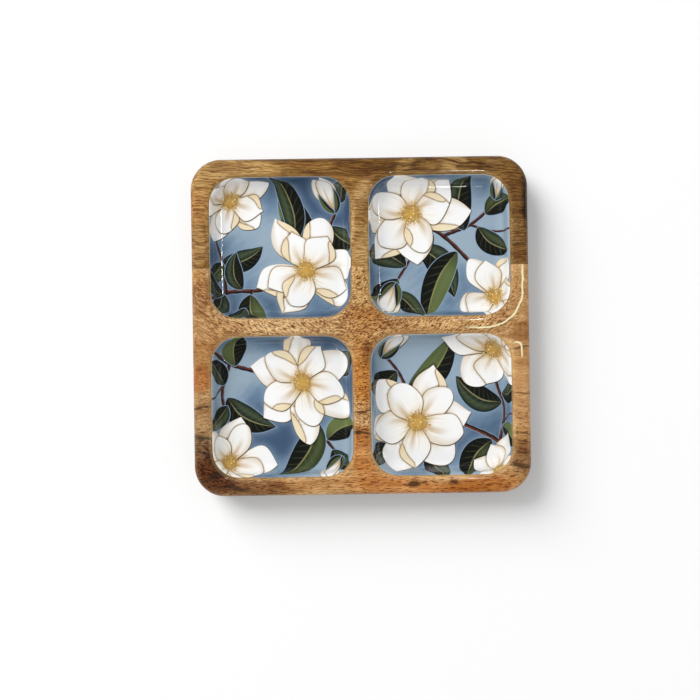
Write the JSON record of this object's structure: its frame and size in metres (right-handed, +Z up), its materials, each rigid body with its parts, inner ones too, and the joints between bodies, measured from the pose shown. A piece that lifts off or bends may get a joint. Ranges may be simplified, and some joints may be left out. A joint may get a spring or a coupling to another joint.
{
  "type": "compartment tray",
  "caption": "Square wooden serving tray with routed pockets, each lined with a print under clear resin.",
  "frame": {"origin": "under the middle of the tray, on the flat underside that it stands on", "axes": "+X to the right and +Y to the rear, with the narrower board at the rear, and +Z up out of the pockets"},
  "size_m": [0.25, 0.25, 0.025],
  "materials": {
    "rear_wood": "satin",
    "front_wood": "satin",
    "print": "matte",
    "clear_resin": "gloss"
  },
  "bodies": {
    "root": {"rear_board": "rear_wood", "front_board": "front_wood", "printed_lining_rear_left": "print", "printed_lining_rear_right": "print", "printed_lining_front_left": "print", "printed_lining_front_right": "print", "resin_coat_rear_left": "clear_resin", "resin_coat_rear_right": "clear_resin", "resin_coat_front_left": "clear_resin", "resin_coat_front_right": "clear_resin"}
  },
  "joints": []
}
